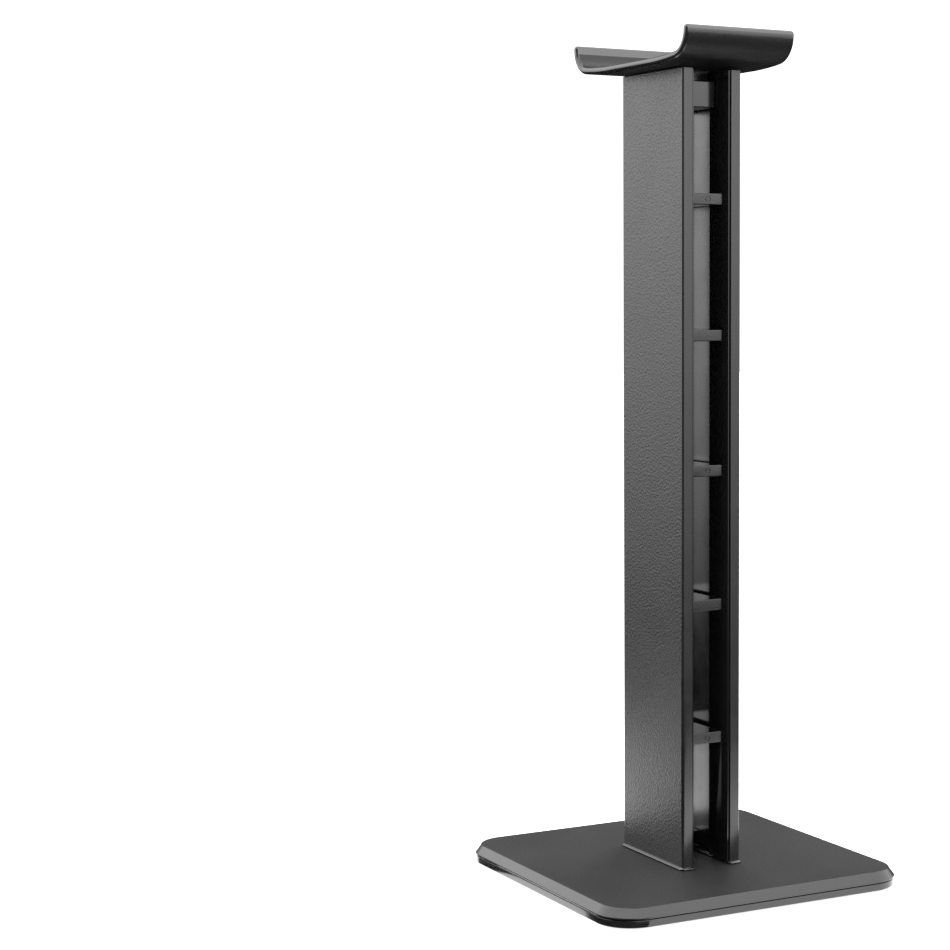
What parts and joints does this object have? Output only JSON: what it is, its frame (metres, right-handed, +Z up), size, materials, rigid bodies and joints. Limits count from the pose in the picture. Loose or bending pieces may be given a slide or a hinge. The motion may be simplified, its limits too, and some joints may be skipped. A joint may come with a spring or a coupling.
{
  "type": "headphone stand",
  "caption": "Square weighted base, upright two-panel column open through the middle and crossed by five shelves, and a shallow trough with upturned lips for a headband.",
  "frame": {"origin": "under the middle of the base, at the level the feet stand on", "axes": "+Z up along the column; +X across the column from panel to panel and along the trough; +Y through the open cable cells"},
  "size_m": [0.1014, 0.1014, 0.2564],
  "materials": {
    "grained_plastic": "black moulded plastic with a fine leather-like grain",
    "gloss_plastic": "black moulded plastic, polished",
    "black_screw": "black zinc screws",
    "ballast_steel": "plain rolled steel plate, hidden in the base",
    "foot_rubber": "matt black rubber pads"
  },
  "bodies": {
    "root": {"base_top_shell": "grained_plastic", "base_cover": "gloss_plastic", "ballast_plate": "ballast_steel", "rubber_foot_1": "foot_rubber", "rubber_foot_2": "foot_rubber", "rubber_foot_3": "foot_rubber", "rubber_foot_4": "foot_rubber", "cover_screw_1": "black_screw", "cover_screw_2": "black_screw", "cover_screw_3": "black_screw", "cover_screw_4": "black_screw", "panel_left": "grained_plastic", "panel_right": "grained_plastic", "core_front_half": "gloss_plastic", "core_rear_half": "gloss_plastic", "column_screw_front": "black_screw", "column_screw_rear": "black_screw", "cradle": "grained_plastic", "neck_screw_1": "black_screw", "neck_screw_2": "black_screw", "neck_screw_3": "black_screw", "neck_screw_4": "black_screw"}
  },
  "joints": []
}
